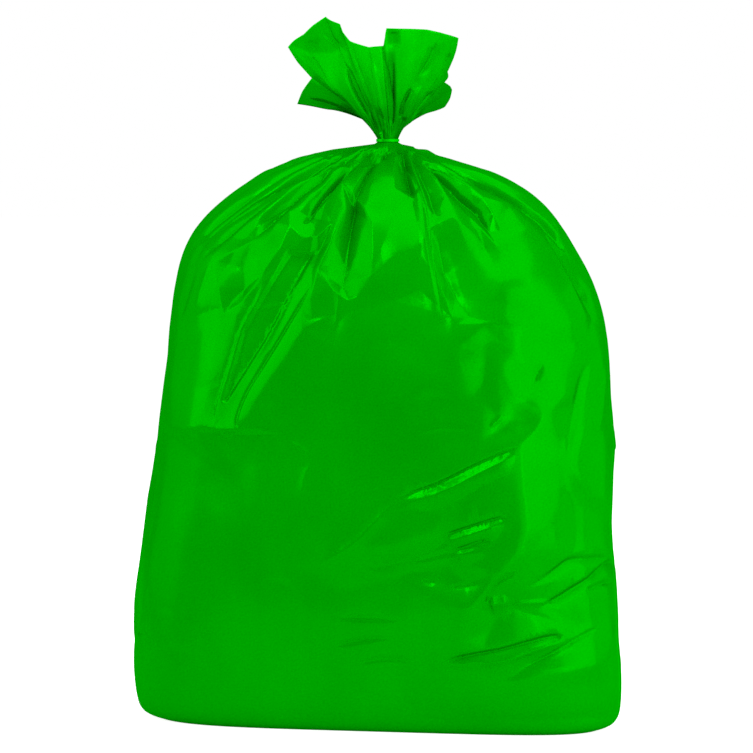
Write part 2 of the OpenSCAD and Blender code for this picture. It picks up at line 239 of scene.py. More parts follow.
# Folds of the bag's front. Each has a line, as places in the front view in picture pixels, the widths of
# its two sides in pixels, its rise in millimetres, the shares of the line over which it fades in and out,
# and its crispness. The second side is right of a line that runs down, and above one that runs right
FRONT_FOLDS = {
    "left shoulder, long valley": (
        [(352, 158), (320, 169), (293, 181), (262, 197), (232, 216), (207, 236), (190, 254)],
        11, 4, -8, 0.1, 0.2, 0.3),
    "left shoulder, low valley": (
        [(290, 190), (262, 207), (240, 224), (220, 242), (203, 262)], 8, 5, -4.5, 0.35, 0.25, 0.4),
    "left shoulder, third valley": (
        [(336, 168), (308, 186), (288, 204), (270, 221), (253, 240)], 10, 7, -7, 0.15, 0.25, 0.3),
    "hook, valley": (
        [(352, 163), (335, 182), (320, 197), (307, 217), (300, 224)], 4, 4, -3, 0.1, 0.4, 0.8),
    "centre valley, upper": (
        [(391, 147), (372, 165), (360, 187), (354, 206), (349, 234), (345, 262)], 5, 5, -5, 0.05, 0.6, 0.5),
    "long tuck, second line": (
        [(315, 280), (292, 318), (274, 348), (262, 368), (249, 389), (241, 407), (238, 420), (239, 430)],
        2.4, 2.4, -1.8, 0.1, 0.1, 0.9),
    "long tuck, dark side": (
        [(262, 283), (252, 303), (240, 326), (234, 343), (229, 361), (223, 380), (218, 398), (215, 412),
        (215, 430)],
        8, 3.2, -1.9, 0.12, 0.1, 1),
    "long tuck, foot": ([(217, 430), (228, 432), (240, 431)], 2, 12, 1.8, 0.15, 0.15, 0.9),
    "left cheek, fall": ([(200, 262), (188, 300), (182, 322)], 6, 4, -1.4, 0.3, 0.4, 0.7),
    "left cheek, second fall": ([(212, 262), (203, 290), (196, 315)], 4, 4, 1, 0.3, 0.5, 0.6),
    "left cheek, lower edge": (
        [(178, 431), (205, 428), (250, 430), (300, 434)], 5, 26, 1.4, 0.25, 0.4, 0.6),
    "right of neck, lens": ([(404, 148), (407, 172), (414, 198)], 4, 4, -3, 0.1, 0.2, 0.8),
    "right shoulder, dark wedge": (
        [(421, 160), (445, 180), (462, 196), (477, 209), (483, 220), (491, 237)],
        3.5, 4, -3, 0.1, 0.2, 0.8),
    "right shoulder, long line": (
        [(421, 160), (452, 172), (485, 186), (515, 200), (540, 217), (556, 235), (566, 249)],
        2.8, 2.8, -4.6, 0.08, 0.06, 1),
    "right shoulder, fall valley": (
        [(540, 226), (562, 256), (578, 284), (590, 305)], 3, 4, -1.5, 0.2, 0.2, 0.8),
    "right edge, fall": ([(590, 355), (580, 390), (572, 430), (566, 470)], 5, 7, -2, 0.2, 0.4, 0.7),
    "right edge, second fall": ([(606, 360), (602, 400), (597, 440)], 4, 6, 1.4, 0.3, 0.3, 0.8),
    "right chest, spot": ([(545, 358), (538, 372), (531, 386)], 7, 8, -1.6, 0.4, 0.3, 0.1),
    "right chest, nick": ([(489, 428), (496, 422), (503, 415)], 3, 3, 1.2, 0.3, 0.3, 0.9),
    "right chest, lower line": ([(412, 436), (440, 428), (478, 430)], 5, 5, -0.9, 0.3, 0.3, 0.6),
    "first slash": (
        [(386, 502), (410, 493), (432, 486), (450, 478), (472, 467), (494, 457), (518, 446)],
        9, 2.5, -3.4, 0.3, 0.15, 1),
    "first slash, lip": (
        [(386, 510), (412, 502), (436, 494), (455, 486), (476, 474), (498, 463), (518, 453)],
        14, 9, 2.4, 0.3, 0.15, 1),
    "second slash": (
        [(444, 536), (460, 530), (476, 525), (491, 520), (508, 516)], 7, 2.5, -3.1, 0.15, 0.15, 1),
    "second slash, lip": (
        [(444, 541), (461, 537), (477, 532), (491, 526), (508, 519)], 14, 7, 2.3, 0.15, 0.3, 1),
    "third slash": ([(455, 550), (467, 546), (478, 542), (492, 539)], 6, 2.5, -2.4, 0.15, 0.15, 1),
    "third slash, lip": ([(455, 554), (467, 552), (478, 548), (492, 542)], 12, 6, 1.95, 0.15, 0.3, 1),
    "third slash, long": ([(405, 565), (440, 555), (470, 549), (497, 546)], 5, 4, -1.3, 0.4, 0.3, 0.8),
    "fourth slash": ([(420, 580), (428, 582), (437, 583)], 4, 3, -1.4, 0.3, 0.3, 0.9),
    "fifth slash": ([(448, 587), (462, 586), (478, 586)], 4, 3, -1.6, 0.3, 0.3, 0.9),
    "belly, dark wave": ([(360, 570), (400, 561), (440, 545), (462, 528)], 12, 10, -1.8, 0.3, 0.3, 0.5),
    "belly, light streak": ([(318, 566), (350, 546), (377, 520), (402, 494)], 12, 9, 1.6, 0.3, 0.3, 0.5),
    "knot, valley": (
        [(487, 606), (489, 594), (497, 582), (509, 575), (519, 572)], 4, 4, -2.4, 0.15, 0.3, 0.6),
    "knot, bead": ([(488, 605), (499, 603), (510, 601)], 12, 8, 5.6, 0.25, 0.25, 1),
    "fan, first wrinkle": (
        [(520, 590), (540, 580), (556, 570), (572, 560), (592, 558), (612, 557)],
        9, 4, -3.6, 0.4, 0.1, 0.6),
    "fan, second wrinkle": (
        [(540, 606), (556, 600), (572, 591), (590, 580), (602, 569), (614, 559)],
        8, 4, -5, 0.25, 0.05, 0.7),
    "fan, third wrinkle": ([(510, 604), (535, 603), (556, 602)], 4, 4, 1.8, 0.2, 0.4, 0.8),
    "fan, fourth wrinkle": ([(512, 608), (540, 617), (566, 626)], 7, 7, -0.9, 0.2, 0.4, 0.2),
    "fan, corner": ([(588, 592), (602, 584), (614, 582)], 4, 4, -3, 0.2, 0.2, 0.8),
    "low loop": (
        [(440, 662), (470, 655), (500, 650), (530, 642), (552, 637), (566, 637)],
        7, 4, -4.6, 0.15, 0.15, 0.8),
    "low loop, inner": ([(470, 664), (505, 660), (535, 650), (560, 642)], 4, 4, 2.2, 0.2, 0.2, 0.8),
    "low wedge": ([(524, 668), (550, 655), (575, 641), (603, 626)], 3, 3, -1.8, 0.15, 0.15, 0.8),
    "low band": ([(440, 668), (480, 672), (520, 678)], 10, 12, -1.4, 0.2, 0.3, 0.6),
    "low left, first wrinkle": ([(333, 647), (362, 640), (402, 637)], 5, 4, -1.5, 0.3, 0.4, 0.7),
    "low left, second wrinkle": ([(335, 618), (370, 618), (405, 621)], 5, 4, -1.2, 0.3, 0.4, 0.7),
    "low left, third wrinkle": ([(350, 665), (385, 659), (420, 662)], 5, 5, -1.2, 0.3, 0.3, 0.6),
    "belly, nick": ([(291, 440), (302, 449), (313, 458)], 3, 3, 1, 0.3, 0.3, 0.9),
    "belly, long fall": ([(313, 458), (302, 490), (301, 548)], 7, 9, 1, 0.2, 0.5, 0.5),
    "left edge, fall": ([(154, 462), (149, 500), (145, 560)], 5, 8, -2.4, 0.2, 0.3, 0.7),
    "left edge, second fall": ([(170, 330), (163, 390), (158, 450)], 5, 7, -1.6, 0.3, 0.3, 0.6),
    "left edge, nick": ([(137, 632), (144, 634), (152, 638)], 3, 3, -1.8, 0.2, 0.3, 0.8),
    "left edge, low fall": ([(146, 580), (142, 620), (141, 670)], 4, 6, 1.4, 0.3, 0.4, 0.6),
}

# Creases between the flat facets of the bag's front: each a line of places in picture pixels, with its rise
# in millimetres. The film is flat between them
FRONT_NET = {
    "side turn": [
        (432, 660, 5), (458, 640, 9), (471, 606, 11), (498, 575, 10), (517, 557, 9), (527, 524, 8),
        (522, 470, 6), (520, 444, 5), (545, 413, 4), (568, 394, 4), (577, 366, 2), (585, 345, 1)],
    "right flank": [(566, 458, -2), (576, 500, -4), (578, 550, -5), (576, 596, -6), (580, 630, -6)],
    "low wedge, top": [(528, 664, -2), (560, 652, -3), (598, 630, -2)],
    "low wedge, foot": [(534, 673, 4), (570, 669, 5), (598, 660, 4)],
    "right band, valley": [(562, 458, -2), (567, 438, -5), (574, 405, -5), (580, 378, -4), (588, 354, -1)],
    "right strip, ridge": [(575, 472, 0), (591, 428, 2), (599, 400, 3), (600, 372, 2), (597, 356, 0)],
    "dark flat, right bank": [(501, 262, 3), (502, 285, 3.2), (505, 304, 3.4)],
    "packing edge": [
        (457, 325, 3), (484, 325, 3), (500, 325, 4), (530, 325, 5), (568, 326, 5), (582, 322, 3)],
    "below the packing edge": [
        (466, 347, 0.5), (478, 350, 0.5), (513, 350, 0.5), (548, 347, 0.5), (572, 345, 0.5)],
    "chest, valley": [(492, 340, 0), (487, 358, -2), (484, 385, -2), (486, 402, -1)],
    "chest, ridge": [(499, 340, 0.5), (496, 365, 1), (493, 396, 0.5)],
    "chest, crest": [(402, 403, 3), (430, 383, 5), (455, 358, 5), (466, 342, 4)],
    "chest, level crease": [(405, 405, 2), (430, 402, 0), (465, 402, -0.5), (488, 404, -1)],
    "chest, lower crest": [(412, 434, 1), (440, 428, 1.5), (470, 430, 1), (489, 432, 0.5)],
    "chest, hollow": [(500, 432, -2.5), (513, 418, -3.5), (530, 426, -1.5)],
    "chest, hollow's edge": [(505, 405, 1), (515, 398, 1.5), (525, 402, 1)],
    "chest, light patch": [(530, 376, -1.5), (545, 368, 1.5), (564, 372, 2)],
    "belly, crest": [(322, 563, 0), (350, 553, 2), (400, 545, 5), (425, 535, 5), (443, 520, 3)],
    "belly, above the crest": [(330, 530, 0), (365, 510, 1), (388, 488, 2), (430, 462, 2), (480, 446, 2)],
    "belly, below the crest": [(340, 590, -1), (400, 575, -1), (450, 562, -1), (468, 585, 0)],
    "dark flat, crest": [(438, 224, 3.5), (452, 219, 5), (470, 231, 3), (487, 249, 1)],
    "dark flat, foot": [
        (440, 250, -2.8), (444, 272, -5), (456, 298, -4.2), (470, 318, -0.5), (484, 321, 1.8),
        (492, 303, 0.8), (489, 272, 0)],
    "shoulder top, crest": [(380, 214, 1), (396, 214, 1.5), (412, 213, 1)],
    "shoulder top, bank": [(381, 250, 4), (400, 252, 4.5), (416, 250, 4)],
    "centre valley, bottom": [(354, 207, -7), (348, 234, -9), (344, 262, -8), (342, 286, -3)],
    "centre valley, right edge": [
        (362, 205, 3), (372, 225, 5), (373, 250, 5.5), (372, 276, 5), (358, 297, 1)],
    "centre valley, left edge": [(346, 208, 3), (332, 240, 4), (318, 270, 4), (311, 297, 3), (313, 319, 2)],
    "pouch": [(333, 290, 4), (335, 314, 1.5), (348, 300, 1), (347, 312, 0), (334, 328, 0), (318, 328, 1)],
    "left pleats, edge": [(340, 166, 0), (308, 186, 0), (288, 204, 0), (270, 221, 0), (253, 240, 0)],
    "hook pocket": [(292, 250, -2), (305, 258, -4), (318, 250, -4), (325, 236, -2)],
    "hook pocket, edge": [(296, 226, 2), (304, 238, 3), (318, 236, 3), (333, 223, 3)],
    "hook, light facet": [(322, 205, 0), (334, 192, 2), (342, 182, 2)],
    "dimple": [(218, 262, 5), (220, 286, 5), (224, 311, 3)],
    "dimple, floor": [(242, 266, -4.5), (243, 288, -5), (231, 301, -2)],
    "light band, crest": [(290, 226, 3), (279, 250, 2), (262, 275, 0.5), (241, 303, 1), (226, 313, 2)],
    "light band, foot": [(252, 258, -2), (264, 243, -1), (276, 232, 0)],
    "cheek, foot": [(168, 434, 1), (182, 427, 5), (214, 428, 4)],
    "cheek, edge": [(176, 266, 2), (171, 330, 3), (168, 380, 3), (165, 424, 3)],
    "cheek, right side": [(238, 314, 2.5), (231, 345, 2.5), (219, 395, 2.5)],
    "low right, crest": [(458, 664, 5), (484, 652, 6), (520, 650, 5), (556, 646, 2)],
    "low right, knot": [(488, 630, 1), (496, 608, -1), (540, 604, -3)],
    "low right, foot": [(440, 678, 2), (500, 686, 2), (560, 688, 1), (606, 682, -1)],
    "low right, base": [(470, 745, -5), (530, 746, -7), (596, 744, -7)],
    "hook, valley": [(354, 165, -4), (335, 184, -7), (320, 199, -8), (308, 214, -7)],
    "long tuck, right": [(312, 269, -1), (292, 301, -1), (264, 348, -1), (233, 405, -1), (227, 429, 1)],
    "long tuck, crest": [
        (318, 322, 3), (304, 330, 4), (280, 362, 4.5), (260, 394, 4.5), (246, 418, 4), (240, 430, 2)],
    "long tuck, beyond": [(333, 345, 0), (304, 372, 0), (280, 402, 0), (262, 432, 0)],
    "right pleats, lens": [(402, 152, -3), (407, 170, -7), (411, 188, -8), (414, 198, -2)],
    "right pleats, long fold": [
        (407, 152, 1), (414, 172, 2), (421, 190, 3), (427, 208, 4), (430, 230, 5), (432, 254, 4),
        (437, 276, 4), (445, 300, 4), (451, 318, 3)],
    "right pleats, long valley": [
        (412, 154, -3), (421, 175, -6), (428, 190, -6), (432, 206, -4), (435, 216, 0)],
    "right pleats, bank": [
        (422, 164, 0), (436, 180, 3), (446, 196, 2), (462, 211, 1), (480, 229, 2), (497, 248, 3)],
    "right pleats, wedge": [
        (427, 164, -3), (446, 182, -7), (462, 196, -9), (476, 209, -9), (484, 221, -6), (489, 231, -2)],
    "right pleats, wedge bank": [(436, 166, 0), (463, 183, 3), (481, 199, 4), (493, 216, 3), (499, 232, 2)],
    "right pleats, long line": [
        (430, 161, -1), (450, 171, -4), (482, 184, -5), (515, 201, -6), (532, 213, -7), (549, 229, -7),
        (564, 250, -4)],
    "right pleats, upper crest": [
        (446, 164, 2), (480, 175, 3), (515, 190, 3), (540, 206, 2), (556, 226, 1)],
    "right pleats, fall ridge": [
        (508, 206, 3), (530, 228, 5), (552, 258, 6.5), (568, 286, 6.5), (582, 314, 4)],
    "right pleats, fall valley": [(545, 232, -3), (567, 266, -5), (583, 296, -5), (592, 318, -2)],
    "far places": [
        (60, 60, 0), (376, 20, 0), (700, 60, 0), (720, 400, 0), (700, 790, 0), (376, 800, 0),
        (60, 790, 0), (30, 400, 0)],
    "calm places": [
        (170, 520, 0), (200, 620, 0), (240, 480, 1), (280, 560, 0), (270, 700, 0), (330, 650, 0),
        (390, 620, 0), (400, 700, 0), (350, 400, 0), (300, 400, 0), (420, 290, 0), (395, 300, 0),
        (385, 350, 0), (340, 460, 1), (500, 500, 5), (500, 540, 6), (620, 520, 0), (620, 620, 0),
        (616, 420, 0), (612, 340, 0), (590, 280, 0), (560, 210, 0), (500, 168, 0), (420, 148, 0),
        (310, 150, 0), (240, 185, 0), (190, 232, 0), (165, 320, 0), (150, 420, 0), (394, 160, 2),
        (394, 190, 4)],
}

# The front net's reach in picture pixels and its cells, and the cells over which its creases are rounded
NET_START_PX = (110, 120)
NET_END_PX = (650, 760)
NET_STEP_PX = 0.5
CRISP_CELLS = 1
SOFT_CELLS = 9
# The creases grow softer down the picture from here, over this height
SOFT_FROM_PX = 320
SOFT_OVER_PX = 26

# Sunken flats of the bag's front: corners in picture pixels, the wall's width in pixels and the depth in
# millimetres
FRONT_FLATS = {
    "long tuck": (
        [(287, 249), (321, 252), (290, 302), (262, 348), (231, 405), (222, 401), (242, 328), (277, 266)],
        4, 4.2),
}

# Folds of the mouth, in the same form
MOUTH_FOLDS = {
    "left lobe, crease": ([(312, 56), (321, 70), (329, 86)], 6, 2, -1.2, 0.1, 0.3, 0.9),
    "left lobe, tip wrinkle": ([(302, 46), (312, 44), (322, 50)], 4, 4, -1.2, 0.3, 0.3, 0.8),
    "left lobe, top wrinkle": ([(320, 30), (335, 42), (352, 50)], 4, 5, -1.2, 0.3, 0.3, 0.8),
    "left lobe, fall": ([(345, 60), (357, 92), (374, 122)], 6, 7, -2.4, 0.3, 0.2, 0.8),
    "left ear, fold": ([(306, 98), (335, 108), (368, 124)], 4, 4, -1.8, 0.3, 0.2, 0.8),
    "centre, band": ([(392, 50), (393, 90), (393, 128)], 10, 4, -2.4, 0.25, 0.1, 0.6),
    "centre, bright ridge": ([(372, 60), (377, 92), (385, 122)], 8, 6, 1.8, 0.2, 0.3, 0.7),
    "small dark flat": ([(394, 32), (394, 49)], 7, 7, -1.6, 0.1, 0.1, 0.8),
    "right lobe, band": ([(437, 40), (431, 60), (417, 80)], 8, 6, -2.2, 0.3, 0.3, 0.2),
    "curl, valley": ([(413, 88), (408, 95), (403, 105), (400, 118)], 2.4, 2.4, -1.6, 0.2, 0.1, 0.9),
    "curl, strip": ([(424, 84), (415, 96), (408, 108), (405, 121)], 5, 5, 1.8, 0.3, 0.1, 0.8),
    "right lobe, lower fall": ([(436, 88), (424, 104), (411, 124)], 4, 4, -1.8, 0.3, 0.2, 0.8),
    "right lobe, edge": ([(450, 50), (446, 64), (440, 84)], 4, 4, -1.2, 0.3, 0.3, 0.7),
}

# Painted shade where the mouth's film lies double, which includes its shaded ears: convex outlines in
# picture pixels, clockwise, and the share of the painted light, standing in for light through the film,
# that is kept
MOUTH_DOUBLED_SHADE = {
    "left lobe, top": ([(286, 45), (325, 16), (342, 24), (349, 46), (332, 54), (312, 55)], 0.62),
    "left lobe, spot": ([(311, 40), (318, 35), (324, 40), (318, 46)], 0.7),
    "left lobe, side": ([(297, 50), (312, 56), (332, 90), (322, 92)], 0.78),
    "left ear": ([(294, 106), (308, 78), (345, 96), (366, 120), (350, 120)], 0.4),
    "centre, band": ([(383, 50), (397, 50), (397, 127), (390, 127)], 0.5),
    "small flat": ([(386, 27), (402, 28), (402, 45), (386, 45)], 0.45),
    "right lobe, band": ([(427, 44), (436, 46), (420, 84), (412, 82)], 0.6),
    "right lobe, side": ([(437, 42), (462, 36), (450, 76), (432, 84), (424, 84)], 0.8),
    "right ear": ([(426, 104), (446, 80), (456, 88), (450, 106), (432, 112)], 0.4),
}
# Width in picture pixels over which that painted shade comes in at an outline's edge
DOUBLED_SHADE_EDGE_PX = 3
# The heights over which the painted shade of the bunched film above the tie gives way to painted light as
# it opens out
BUNCHED_SHADE_Z = (655, 725)

# Pleats that run up from the neck all over the mouth: count, half width as a share of a gather's, reach as
# a share of the mouth's height, and depth in millimetres, each from and to
MOUTH_PLEATS = (70, (0.1, 0.34), (0.35, 1.1), (0.5, 1.9))
PLEAT_SEED = 8
# Gathers by which a pleat strays on its way up, the share of the height over which it runs out, and how it
# deepens from the foot
PLEAT_STRAY = 0.5
PLEAT_FADE = 0.35
PLEAT_POWER = 0.5
# The mouth's folds are this many times as deep as their table says. Its slack waves have this share of the
# body's rise, and are this many times as short. Both start over the lowest share of its height
MOUTH_FOLD_DEPTH = 1.7
MOUTH_SLACK = 0.4
MOUTH_SLACK_FINER = 2
MOUTH_START = 0.2

# Creases of slack film all round: count, lowest and highest row of LEVELS, heading from level and its
# spread in degrees, length, width of a side and rise, each from and to in millimetres
CREASES = {
    "belly slashes": (90, 2.6, 8.6, 20, 16, (40, 130), (4, 13), (0.8, 2.6)),
    "belly slashes, falling": (50, 2.6, 8.6, -24, 14, (35, 100), (4, 11), (0.7, 2.2)),
    "belly falls": (46, 3.4, 9.2, 84, 14, (70, 190), (7, 18), (0.6, 1.6)),
    "shoulder pulls": (96, 8.6, 13.2, 90, 13, (50, 150), (4, 11), (1.0, 2.8)),
    "neck pleats": (110, 12.2, 14.6, 90, 8, (35, 90), (2.5, 6), (0.8, 2.0)),
    "base puckers": (76, 0.9, 2.9, 62, 40, (20, 70), (3, 9), (0.6, 1.8)),
}
CREASE_SEED = 12
CREASE_STEPS = 9
# How far a crease turns on its way, as a spread in radians, and the rows that it stays between
CREASE_BEND = 0.64
CREASE_ROWS = (0.3, BODY_END - 0.02)
# The narrower side's share of the wider one, the share of creases with that side first, the share that are
# valleys, the crispness, the share over which a crease fades at each end, and its width there
NARROW_SIDE = (0.3, 0.9)
NARROW_FIRST = 0.3
VALLEY_SHARE = 0.62
CREASE_CRISP = (0.5, 1)
CREASE_FADE = 0.35
CREASE_END_WIDTH = 0.4
# Share of the creases' rise that is kept where the front view's own folds lie, and round the neck
FRONT_KEPT = 0.1
NECK_KEPT = 0.9
# The creases are full where the film faces away from the camera by more than this, and run down to that
# share over this much more facing. Round the neck, they keep the second share out to a distance, and run
# down over a further one
CALM_FACING = -0.35
CALM_OVER = 0.55
PLEATS_R = 30
PLEATS_OVER = 40

# Flat facets of the crumpled film where the front view doesn't reach: their creases' spacing round the bag
# and up the skin, the corners' rise, all in millimetres, and the share of the spacing by which they stray
CRUMPLE_AROUND = 74
CRUMPLE_UP = 66
CRUMPLE_RISE = 6.2
CRUMPLE_STRAY = 0.42
CRUMPLE_SEED = 31
# How far those creases are rounded to each side, in millimetres
CRUMPLE_ROUND = 1
# The facets are full where the film faces away from the camera by more than this, and then run out
CRUMPLE_FACING = -0.12
CRUMPLE_OVER = 0.4

# Soft waves of the slack film: wavelength, count and rise, in millimetres, and how much less they change up
# the bag than round it. In front, this share of them is kept
SLACK_WAVES = [
    (230, 7, 0.6),
    (120, 9, 0.35),
    (60, 12, 0.16),
]
SLACK_UPWARD = 0.55
SLACK_KEPT = 0.5
SLACK_SEED = 5

# Horizontal creases from the film's packing: height, rise, half width and strength's wave round the bag
PACKING = [
    [118, 0.5, 2.5, 3, 0.4],
    [236, 0.6, 2.5, 2, 2.1],
    [350, 0.8, 3.0, 3, 4.0],
    [463, 0.8, 3.0, 2, 5.2],
]

# Studio lamps: place, the point that each faces, width and height, all in metres, and power in watts
LAMPS = {
    "right_box": ((1.9, -1.7, 1.6), (0.1, 0.1, 1.6), (1.9, 3.2), 58),
    "right_side_box": ((2.5, 0.3, 1.2), (0.1, 0.1, 1.2), (2.4, 2.4), 27),
    "top_box": ((0.35, -0.35, 2.7), (0.35, -0.1, 0.5), (2.4, 2.2), 52),
    "left_box": ((-2.2, -0.9, 1.7), (-0.2, -0.15, 1.7), (2.2, 2.2), 40),
    "left_side_box": ((-2.5, 0.4, 1.2), (-0.1, 0.1, 1.2), (2.2, 2.2), 13),
    "low_right_box": ((1.05, -2.5, 0.62), (0.15, -0.1, 0.3), (0.9, 1.2), 7),
    "key_box": ((-0.95, -1.75, 2.5), (0, 0, 0.4), (1.1, 0.9), 22),
}
WORLD_LIGHT = 0.2
FLOOR_REACH = 30
FLOOR_LIFT = 0.86


def mix(a, b, t):
    return a + (b - a) * t


def ease(t):
    t = np.clip(t, 0, 1)
    return t * t * (3 - 2 * t)


def curve(a, b, c, d, t):
    """The smooth curve through four values, a share t of the way from the second to the third."""
    return 0.5 * (2 * b + (c - a) * t + (2 * a - 5 * b + 4 * c - d) * t**2 + (3 * b - a - 3 * c + d) * t**3)


def level(row, column):
    """One column of LEVELS at fractional rows, on a smooth curve through its values."""
    i = np.clip(np.floor(row).astype(int), 0, BODY_END - 1)
    around = (np.maximum(i - 1, 0), i, i + 1, np.minimum(i + 2, BODY_END))
    return curve(*(LEVELS[k, column] for k in around), row - i)


def section_r(azimuth, row):
    """Distance from a section's middle to its edge."""
    n = level(row, SQUARENESS)
    shift = NECK_X * level(row, TO_NECK)
    c = np.cos(azimuth)
    y = np.sin(azimuth) + np.tan(np.radians(FRONT_SLANT * level(row, SLANT))) * c
    x_reach = np.where(c >= 0, level(row, RIGHT) * BAG_W / 2 - shift, level(row, LEFT) * BAG_W / 2 + shift)
    y_reach = np.where(y >= 0, level(row, BACK), level(row, FRONT)) * BAG_D / 2
    return ((np.abs(c) / x_reach) ** n + (np.abs(y) / y_reach) ** n) ** (-1 / n)


def gather_parts(place):
    """The gather that a place round the bag belongs to, the next one and the share between."""
    k = np.floor(place).astype(int) % GATHER_COUNT
    return k, (k + 1) % GATHER_COUNT, place - np.floor(place)


def azimuth_at(place, column):
    k, following, share = gather_parts(place)
    start = GATHERS[k, column]
    end = np.where(following < k, GATHERS[following, column] + 360, GATHERS[following, column])
    return mix(start, end, share)


def azimuth_of(place, height):
    to_neck = ease((height - SHOULDER_SHARE) / (NECK_SHARE - SHOULDER_SHARE))
    to_shoulder = ease((height - BELLY_SHARE) / (SHOULDER_SHARE - BELLY_SHARE))
    upper = mix(azimuth_at(place, AT_SHOULDER), azimuth_at(place, AT_NECK), to_neck)
    lower = mix(azimuth_at(place, AT_BELLY), azimuth_at(place, AT_SHOULDER), to_shoulder)
    return np.where(height > SHOULDER_SHARE, upper, lower)


def gather_width(k, column):
    """Degrees from one gather to the next, by one column of directions."""
    return (GATHERS[(k + 1) % GATHER_COUNT, column] - GATHERS[k, column] + 360) % 360


def valley_side(share, width):
    return np.maximum(0, 1 - share / np.minimum(0.5, VALLEY_DEG / width)) ** VALLEY_POWER


def gather_rise(place, height, radius):
    k, following, share = gather_parts(place)
    in_front = (GATHERS[:, AT_NECK] > FRONT_START_DEG) & (GATHERS[:, AT_NECK] < FRONT_END_DEG)
    depth = GATHERS[:, DEPTH] * np.where(in_front, FRONT_GATHERS, 1)
    here = depth[k] * ease((height - GATHERS[k, REACH]) / GATHER_GROWTH)
    there = depth[following] * ease((height - GATHERS[following, REACH]) / GATHER_GROWTH)
    width = gather_width(k, AT_NECK)
    crown = CROWN_SHARE * (here + there) * np.sin(np.pi * share)
    grooves = here * valley_side(share, width) + there * valley_side(1 - share, width)
    return np.minimum(1, radius / FULL_GATHER_R) * (crown - grooves)


def swelling_rise(azimuth_deg, height):
    total = np.zeros_like(height)
    for direction, share, spread, tall, rise in SWELLINGS:
        turn = np.abs((azimuth_deg - direction + 540) % 360 - 180)
        total += rise * np.exp(-((turn / spread) ** 2) - ((height - share) / tall) ** 2)
    return total


def body_points(place, row):
    """The full bag's skin, as in the solid: the points, and the smooth form's outward normals."""
    height = level(row, HEIGHT)
    azimuth_deg = azimuth_of(place, height)
    azimuth = np.radians(azimuth_deg)
    radius = section_r(azimuth, row)
    step = 0.05
    low = np.maximum(row - step, 0)
    high = np.minimum(row + step, BODY_END)
    run = section_r(azimuth, high) - section_r(azimuth, low)
    climb = (level(high, HEIGHT) - level(low, HEIGHT)) * TIE_Z
    slant = np.hypot(run, climb)
    rise = (gather_rise(place, height, radius) + swelling_rise(azimuth_deg, height)) * ease(row / BASE_ROWS)
    out = radius + rise * climb / slant
    across = NECK_X * level(row, TO_NECK) + out * np.cos(azimuth)
    points = np.stack([across, out * np.sin(azimuth), height * TIE_Z - rise * run / slant], axis=1)
    turn = 0.01
    edge = section_r(azimuth + turn, row) - section_r(azimuth - turn, row)
    along_x = edge * np.cos(azimuth) - 2 * turn * radius * np.sin(azimuth)
    along_y = edge * np.sin(azimuth) + 2 * turn * radius * np.cos(azimuth)
    along = np.stack([along_x, along_y, np.zeros_like(radius)], axis=1)
    drift = NECK_X * (level(high, TO_NECK) - level(low, TO_NECK))
    up = np.stack([drift + run * np.cos(azimuth), run * np.sin(azimuth), climb], axis=1)
    normals = np.cross(along, up)
    return points + SHIFT, normals / np.linalg.norm(normals, axis=1, keepdims=True)


def mouth_points(place, share):
    """The mouth's outer skin, without its folds."""
    k, following, part = gather_parts(place)
    right, back, up, arch = mix(RIM[k], RIM[following], part[:, None]).T
    start = azimuth_at(place, AT_NECK)
    rim_azimuth = np.degrees(np.arctan2(back, right))
    rim_azimuth = start + (rim_azimuth - start + 540) % 360 - 180
    azimuth = np.radians(mix(start, rim_azimuth, ease(share)))
    width = gather_width(k, AT_NECK)
    fold = valley_side(part, width) + valley_side(1 - part, width)
    radius = mix(NECK_R, np.hypot(right, back) * MOUTH_H, share**FLARE)
    radius = radius - MOUTH_GROOVE * fold * np.sin(np.pi * np.minimum(share, MOUTH_GROOVE_TOP)) * share
    z = TIE_Z + NECK_TOP + (up * MOUTH_H - NECK_TOP) * share ** (FLARE * arch)
    return np.stack([NECK_X + radius * np.cos(azimuth), radius * np.sin(azimuth), z], axis=1) + SHIFT


def mouth_normals(place, share):
    step = 0.02
    along = mouth_points(place + step, share) - mouth_points(place - step, share)
    up = mouth_points(place, np.minimum(share + step, 1)) - mouth_points(place, np.maximum(share - step, 0))
    normals = np.cross(along, up)
    return normals / np.maximum(np.linalg.norm(normals, axis=1, keepdims=True), 1e-9)


CAMERA_TILT = math.radians(CAMERA_UP_DEG)
CAMERA_BACK = np.array([0, -math.cos(CAMERA_TILT), math.sin(CAMERA_TILT)])
CAMERA_UP = np.array([0, math.sin(CAMERA_TILT), math.cos(CAMERA_TILT)])
CAMERA_PLACE = np.array([CAMERA_AIM_X, 0, CAMERA_AIM_Z]) + CAMERA_FAR * CAMERA_BACK


def picture_place(points):
    """Where points of the part's frame fall in the front view, in picture pixels, right and down."""
    rel = points - CAMERA_PLACE
    scale = CAMERA_FAR / -(rel @ CAMERA_BACK) / MM_PER_PX
    across = PICTURE_PX / 2 + rel[:, 0] * scale
    down = PICTURE_PX / 2 - (rel @ CAMERA_UP) * scale
    return np.stack([across, down], axis=1)


def smooth_line(corners):
    """More points on a smooth curve through a line's corners."""
    corners = np.array(corners, float)
    if len(corners) < 3:
        return corners
    padded = np.concatenate([2 * corners[:1] - corners[1:2], corners, 2 * corners[-1:] - corners[-2:-1]])
    t = np.linspace(0, 1, LINE_STEPS + 1)[:-1, None]
    made = [curve(*padded[i : i + 4], t) for i in range(len(corners) - 1)]
    return np.concatenate([*made, corners[-1:]])


def near_line(points, line, reach):
    """Which points lie in the box round a line, as numbers."""
    inside = (points > line.min(axis=0) - reach) & (points < line.max(axis=0) + reach)
    return np.flatnonzero(inside.all(axis=1))


